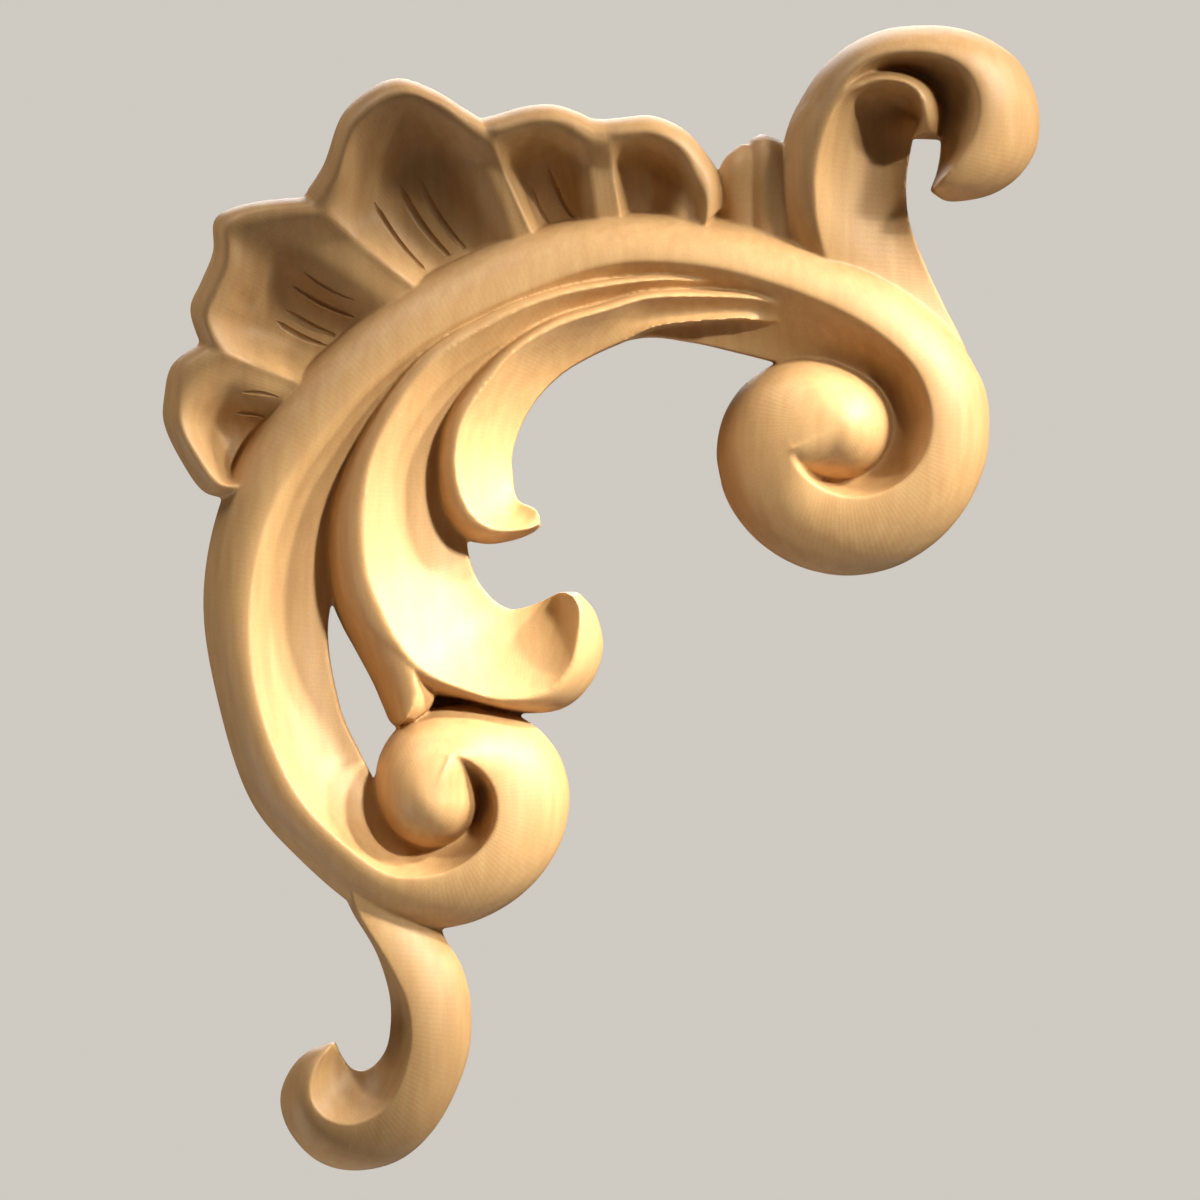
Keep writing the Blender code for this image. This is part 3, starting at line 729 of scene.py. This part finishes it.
# %% Helpers for node trees
def add(tree, kind, settings=None, numbered=None, **named):
    """A new node: its properties, then its inputs by number or name, as values or sockets."""
    made = tree.nodes.new(kind)
    for name, value in (settings or {}).items():
        setattr(made, name, value)
    inputs = [(made.inputs[number], value) for number, value in (numbered or {}).items()]
    for name, value in named.items():
        label = name.replace("_", " ")
        inputs.append((next(s for s in made.inputs if s.name == label and s.enabled), value))
    for socket, value in inputs:
        if isinstance(value, bpy.types.NodeSocket):
            tree.links.new(value, socket)
        else:
            socket.default_value = value
    return made


def result(made, name):
    """The output of that name which is in use; several types of it may be hidden."""
    return next(s for s in made.outputs if s.name == name and s.enabled)


def new_tree(name, sizes):
    """A Geometry Nodes tree with a geometry in and out, and named size inputs."""
    tree = bpy.data.node_groups.new(name, "GeometryNodeTree")
    tree.interface.new_socket("Geometry", in_out="INPUT", socket_type="NodeSocketGeometry")
    for size, kind in sizes:
        tree.interface.new_socket(size, in_out="INPUT", socket_type=kind)
    tree.interface.new_socket("Geometry", in_out="OUTPUT", socket_type="NodeSocketGeometry")
    return tree, tree.nodes.new("NodeGroupInput"), tree.nodes.new("NodeGroupOutput")


def end_tree(tree, out, geometry, material):
    """Makes all instances real, gives them their material, and ends the tree there."""
    real = add(tree, "GeometryNodeRealizeInstances", Geometry=geometry)
    shaded = add(tree, "GeometryNodeSetMaterial", Geometry=real.outputs["Geometry"],
                 Material=material)
    tree.links.new(shaded.outputs["Geometry"], out.inputs["Geometry"])
    print(tree.name, "has", len(tree.nodes), "nodes")


def use_tree(piece, tree, values):
    """The tree as a modifier on the piece, with its inputs set by the sockets' identifiers."""
    modifier = piece.modifiers.new(tree.name, "NODES")
    modifier.node_group = tree
    for item in tree.interface.items_tree:
        if item.in_out == "INPUT" and item.name in values:
            modifier[item.identifier] = values[item.name]


strokes, given, out = new_tree("gouge_strokes", [("Gouge Radius", "NodeSocketFloat"),
                                                 ("Sides", "NodeSocketInt"),
                                                 ("Steel", "NodeSocketMaterial")])
print("gouge_strokes takes:", [item.name for item in strokes.interface.items_tree])

# %% The tree that turns paths into gouge strokes
GOUGE_RADIUS = 0.00085
GOUGE_SIDES = 10
# The strokes are cut away again, so their steel never shows
steel = bpy.data.materials.new("gouge_steel")
path = add(strokes, "GeometryNodeMeshToCurve", Mesh=given.outputs["Geometry"])
share = add(strokes, "GeometryNodeInputNamedAttribute", {"data_type": "FLOAT"},
            Name="gouge_share")
bit = add(strokes, "GeometryNodeCurvePrimitiveCircle", {"mode": "RADIUS"},
          Resolution=given.outputs["Sides"], Radius=given.outputs["Gouge Radius"])
stroke = add(strokes, "GeometryNodeCurveToMesh", Curve=path.outputs["Curve"],
             Profile_Curve=bit.outputs["Curve"], Scale=result(share, "Attribute"),
             Fill_Caps=True)
end_tree(strokes, out, stroke.outputs["Mesh"], given.outputs["Steel"])
use_tree(veins, strokes, {"Gouge Radius": GOUGE_RADIUS, "Sides": GOUGE_SIDES, "Steel": steel})
apply_modifiers(veins)
print("gouge strokes:", len(veins.data.polygons), "faces")

# %% [markdown]
# ## Planing the back
#
# The veins and the back are cut by Booleans with the exact solver, which leaves a flat back and
# clean edges. Both cutters are deleted afterwards. The second lobe of the fan has one soft dimple.
# A cutter would leave a hard rim there, so the dimple is pressed into the finished mesh instead.

# %% Cut the veins and plane the back
def cut(piece, cutter):
    """Takes the cutter's shape out of the piece, and deletes the cutter."""
    boolean = piece.modifiers.new("cut", "BOOLEAN")
    boolean.operation = "DIFFERENCE"
    boolean.solver = "EXACT"
    boolean.object = cutter
    apply_modifiers(piece)
    bpy.data.objects.remove(cutter, do_unlink=True)


bm = bmesh.new()
bmesh.ops.create_cube(bm, size=1.0)
side = 2 * max(high - low)
bmesh.ops.scale(bm, verts=bm.verts, vec=(side, side / 2, side))
bmesh.ops.translate(bm, verts=bm.verts, vec=(0, side / 4, 0))
cut(carving, veins)
cut(carving, new_piece("planing_block", plain_mesh(bm, "planing_block")))
carving.data.materials.clear()
print("cut and planed:", len(carving.data.polygons), "faces")

# %% Press the dimple, and shade the carving
DIMPLE = (244, 301)         # in the second lobe of the fan from the left
DIMPLE_RADIUS = 0.0028
DIMPLE_DEPTH = 0.0008
CREASE_ANGLE = 60           # degrees past which an edge stays sharp


def press_dimple(mesh):
    """A soft hollow in the front, deepest in its middle."""
    x, _, z = at(DIMPLE, 0.0)
    for vert in mesh.vertices:
        away = math.hypot(vert.co.x - x, vert.co.z - z) / DIMPLE_RADIUS
        if away < 1.0 and vert.co.y < -DIMPLE_DEPTH:
            vert.co.y += DIMPLE_DEPTH * (1.0 - away**2) ** 2


bm = bmesh.new()
bm.from_mesh(carving.data)
bmesh.ops.triangulate(bm, faces=bm.faces)
bm.to_mesh(carving.data)
bm.free()
press_dimple(carving.data)
carving.data.shade_smooth()
carving.data.set_sharp_from_angle(angle=math.radians(CREASE_ANGLE))
print("carving:", len(carving.data.polygons), "triangles")

# %% [markdown]
# ## Gouge passes
#
# Close up, the rounds of the scroll show the last passes of the tool: fine facets across the form.
# Fusing the forms lost the measure along them, so a Geometry Nodes tree reads it back from the
# nearest point of the sweeps, which still lie under the surface, and keeps it as an attribute
# that the material can use.

# %% Read the travel of the gouge back from the sweeps
passes, given, out = new_tree("gouge_passes", [("Forms", "NodeSocketObject"),
                                               ("Wood", "NodeSocketMaterial")])
forms_in = add(passes, "GeometryNodeObjectInfo", Object=given.outputs["Forms"])
travel = add(passes, "GeometryNodeInputNamedAttribute", {"data_type": "FLOAT"}, Name="travel")
nearest = add(passes, "GeometryNodeSampleNearestSurface", {"data_type": "FLOAT"},
              Mesh=forms_in.outputs["Geometry"], Value=result(travel, "Attribute"))
stored = add(passes, "GeometryNodeStoreNamedAttribute",
             {"data_type": "FLOAT", "domain": "POINT"}, Geometry=given.outputs["Geometry"],
             Name="gouge_travel", Value=result(nearest, "Value"))
end_tree(passes, out, stored.outputs["Geometry"], given.outputs["Wood"])

# %% [markdown]
# ## Limewood
#
# Limewood is pale, very even and almost without figure, which is why carvers choose it. Sanded and
# left bare it has a soft satin sheen. Its pores are a few hundredths of a millimetre wide, too
# fine to show, so they are drawn as a speckle of about a third of a millimetre. The growth rings
# give faint streaks along the length of the board, about two millimetres wide, and the tone
# drifts a little from place to place, in clouds of about three centimetres.

# %% Colours
def colour(code):
    """An sRGB hex colour as linear values with full alpha."""
    values = [int(code[start:start + 2], 16) / 255 for start in (1, 3, 5)]
    return (*[v / 12.92 if v <= 0.04045 else ((v + 0.055) / 1.055) ** 2.4 for v in values], 1.0)


def new_material(name):
    material = bpy.data.materials.new(name)
    material.use_nodes = True
    return material, material.node_tree, material.node_tree.nodes["Principled BSDF"]


print("the light tone of the wood, linear:", [round(v, 3) for v in colour("#CAA371")[:3]])

# %% The patterns of sanded limewood
MM = 0.001
RING_WIDTH = 2.2 * MM
RING_STRETCH = 0.12         # the rings' streaks are about eight times as long as they are wide
CLOUD_SIZE = 30 * MM
PORE_SIZE = 0.35 * MM       # coarser than real pores, so that they show


def per_metre(size):
    """The scale of a noise texture whose features are that large, in metres."""
    return 1.0 / size


# Bare limewood is pale and even, with a satin sheen: faint rings, soft clouds and fine pores
limewood, tree, surface = new_material("sanded_limewood")
where = add(tree, "ShaderNodeTexCoord")
along_board = add(tree, "ShaderNodeMapping", Vector=where.outputs["Object"],
                  Scale=(1.0, 1.0, RING_STRETCH))
rings = add(tree, "ShaderNodeTexNoise", Vector=along_board.outputs["Vector"],
            Scale=per_metre(RING_WIDTH), Detail=3.0, Roughness=0.5)
clouds = add(tree, "ShaderNodeTexNoise", Vector=where.outputs["Object"],
             Scale=per_metre(CLOUD_SIZE), Detail=2.0)
pores = add(tree, "ShaderNodeTexNoise", Vector=where.outputs["Object"],
            Scale=per_metre(PORE_SIZE), Detail=2.0, Roughness=0.7)
print("patterns per metre:", [round(p.inputs["Scale"].default_value) for p in (rings, clouds, pores)])

# %% Its colour
ring_tint = add(tree, "ShaderNodeValToRGB", Fac=rings.outputs["Fac"])
ring_tint.color_ramp.elements[0].position = 0.30
ring_tint.color_ramp.elements[0].color = colour("#C09665")
ring_tint.color_ramp.elements[1].position = 0.72
ring_tint.color_ramp.elements[1].color = colour("#CAA371")
cloud_tone = add(tree, "ShaderNodeMapRange", Value=clouds.outputs["Fac"], From_Min=0.3,
                 From_Max=0.7, To_Min=0.93, To_Max=1.03)
pore_tone = add(tree, "ShaderNodeMapRange", Value=pores.outputs["Fac"], From_Min=0.25,
                From_Max=0.75, To_Min=0.90, To_Max=1.06)
tone = add(tree, "ShaderNodeMath", {"operation": "MULTIPLY"},
           {0: cloud_tone.outputs["Result"], 1: pore_tone.outputs["Result"]})
toned = add(tree, "ShaderNodeMix", {"data_type": "RGBA", "blend_type": "MULTIPLY"},
            {0: 1.0, 6: ring_tint.outputs["Color"], 7: tone.outputs["Value"]})
tree.links.new(result(toned, "Result"), surface.inputs["Base Color"])
print("limewood's colour takes", len(tree.nodes), "nodes")

# %% Its sheen and its relief: pores, and the gouge's facets about a millimetre apart
FACET = 1.1 * MM
surface.inputs["Metallic"].default_value = 0.0
surface.inputs["IOR"].default_value = 1.48
sheen = add(tree, "ShaderNodeMapRange", Value=pores.outputs["Fac"], From_Min=0.3, From_Max=0.7,
            To_Min=0.46, To_Max=0.60)
tree.links.new(sheen.outputs["Result"], surface.inputs["Roughness"])
measure = add(tree, "ShaderNodeAttribute", {"attribute_name": "gouge_travel"})
turns = add(tree, "ShaderNodeMath", {"operation": "MULTIPLY"},
            {0: measure.outputs["Fac"], 1: 2 * math.pi / FACET})
facet = add(tree, "ShaderNodeMath", {"operation": "SINE"}, {0: turns.outputs["Value"]})
facet_bump = add(tree, "ShaderNodeBump", Height=facet.outputs["Value"], Strength=0.12,
                 Distance=0.03 * MM)
pore_bump = add(tree, "ShaderNodeBump", Height=pores.outputs["Fac"], Strength=0.12,
                Distance=0.05 * MM, Normal=facet_bump.outputs["Normal"])
tree.links.new(pore_bump.outputs["Normal"], surface.inputs["Normal"])
print("limewood with its relief:", len(tree.nodes), "nodes")

# %% Give the carving its passes and its wood
use_tree(carving, passes, {"Forms": raw, "Wood": limewood})
apply_modifiers(carving)
bpy.data.objects.remove(raw, do_unlink=True)
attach(carving, "root")
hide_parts(NODE)
print("materials on the carving:", [m.name for m in carving.data.materials])

# %% [markdown]
# ## The studio
#
# A pale floor lies well below the ornament. Three beams from the upper right light the carving,
# the highest of them the narrowest, so that the faces of the leaves are the brightest. Three soft
# lamps stand almost in the plane of the back and only reach the rims and crests, while the flutes
# stay dark. A lamp behind the ornament keeps the floor pale and shows the planed back. The air of
# the room gives almost no light, but it looks pale from every side.

# %% Floor
FLOOR_DROP = 0.60           # clear space between the tail and the floor
FLOOR_RADIUS = 1.1


def studio_floor():
    bm = bmesh.new()
    bmesh.ops.create_circle(bm, cap_ends=True, segments=96, radius=FLOOR_RADIUS)
    bmesh.ops.translate(bm, verts=bm.verts, vec=(0, 0, low.z - FLOOR_DROP))
    return plain_mesh(bm, "studio_floor")


# Matt card has hardly any sheen, only an even pale tone
card, tree, surface = new_material("matt_backdrop_card")
surface.inputs["Base Color"].default_value = colour("#D9D5CE")
surface.inputs["Roughness"].default_value = 0.9
floor = new_piece("studio_floor", studio_floor())
floor.data.materials.append(card)
print("floor", FLOOR_DROP, "m below the tail,", 2 * FLOOR_RADIUS, "m across")

# %% How a lamp hangs
middle = Vector(at((SHEET_SIDE / 2, SHEET_SIDE / 2), 0.0))


def toward(turn, lift):
    """The direction of a lamp: turn runs up from the right, lift runs forward, in degrees."""
    turn, lift = math.radians(turn), math.radians(lift)
    return Vector((math.cos(lift) * math.cos(turn), -math.sin(lift),
                   math.cos(lift) * math.sin(turn)))


def hang(lamp, tint, watts, target, direction, reach):
    """Hangs a lamp that far from its target, facing it."""
    lamp.color = colour(tint)[:3]
    lamp.energy = watts
    holder = bpy.data.objects.new(lamp.name, lamp)
    bpy.context.scene.collection.objects.link(holder)
    holder.location = target + direction * reach
    holder.rotation_euler = (-direction).to_track_quat("-Z", "Y").to_euler()
    print(lamp.name, "at", [round(value, 2) for value in holder.location], watts, "W")


print("middle of the sheet at", [round(value, 3) for value in middle])

# %% The three beams
BEAM_REACH = 0.8            # from the carving to the three beams
BEAM_RADIUS = 0.04
BEAM_AIM = 0.010            # height of the places that they aim at


def beam(name, turn, lift, spread, target, watts):
    """A spot lamp that aims at a place on the sheet; its cone's spread is in degrees."""
    lamp = bpy.data.lights.new(name, "SPOT")
    lamp.spot_size = math.radians(spread)
    lamp.spot_blend = 1.0
    lamp.shadow_soft_size = BEAM_RADIUS
    hang(lamp, "#FFFAEC", watts, Vector(at(target, BEAM_AIM)), toward(turn, lift), BEAM_REACH)


beam("low_beam", 25, 20, 16, (560, 600), 23)
beam("middle_beam", 40, 27, 12, (520, 640), 44)
beam("high_beam", 40, 50, 9, (520, 600), 66)

# %% The soft lamps
RIM_REACH = 1.0             # from the carving to the three rim lamps
RIM_SIZE = 0.4
FLOOR_LAMP_REACH = 1.8
FLOOR_LAMP_SIZE = 1.0
FLOOR_LAMP_SIDE = (0, 0.6, 0.8)             # behind the carving and above the floor
FLOOR_AIM = (0, 0.4, low.z - FLOOR_DROP)    # on the floor, a little behind the carving


def soft_lamp(name, target, direction, size, watts, tint, reach):
    lamp = bpy.data.lights.new(name, "AREA")
    lamp.shape = "DISK"
    lamp.size = size
    hang(lamp, tint, watts, target, direction, reach)


for name, turn, lift, watts in (("rim_right", 40, 3, 11.0), ("rim_top", 120, 10, 4.4),
                                ("rim_left", 210, 3, 2.3)):
    soft_lamp(name, middle, toward(turn, lift), RIM_SIZE, watts, "#FFF6EC", RIM_REACH)
soft_lamp("floor_lamp", Vector(FLOOR_AIM), Vector(FLOOR_LAMP_SIDE), FLOOR_LAMP_SIZE, 16.0,
          "#FFFFFF", FLOOR_LAMP_REACH)

# %% The air of the room
AIR_STRENGTH = 0.012
world = bpy.data.worlds.new("dim_room")
bpy.context.scene.world = world
world.use_nodes = True
tree = world.node_tree
air = tree.nodes["Background"]
air.inputs["Color"].default_value = colour("#FFFFFF")
air.inputs["Strength"].default_value = AIR_STRENGTH
pale = add(tree, "ShaderNodeBackground", Color=colour("#CFCAC2"), Strength=1.0)
ray = add(tree, "ShaderNodeLightPath")
room = add(tree, "ShaderNodeMixShader", None,
           {0: ray.outputs["Is Camera Ray"], 1: air.outputs["Background"],
            2: pale.outputs["Background"]})
tree.links.new(room.outputs["Shader"], tree.nodes["World Output"].inputs["Surface"])
print("air of the room: strength", AIR_STRENGTH)

# %% Camera, straight on, as the ornament is drawn
FRAME_WIDTH = SHEET_SIDE * UNIT
LENS = 400.0                # long, so that the drawing keeps its proportions
SENSOR = 36.0
MID_RELIEF = 0.005          # height at which the frame is as wide as the sheet
camera = bpy.data.objects.new("camera", bpy.data.cameras.new("camera"))
bpy.context.scene.collection.objects.link(camera)
camera.data.lens = LENS
camera.data.sensor_width = SENSOR
camera.location = middle + Vector((0, -MID_RELIEF - FRAME_WIDTH * LENS / SENSOR, 0))
camera.rotation_euler = (math.radians(90), 0, 0)
bpy.context.scene.camera = camera
bpy.context.scene.view_settings.view_transform = "Standard"
print("camera at", [round(value, 3) for value in camera.location])

# %% Finish
print("the carving is finished")
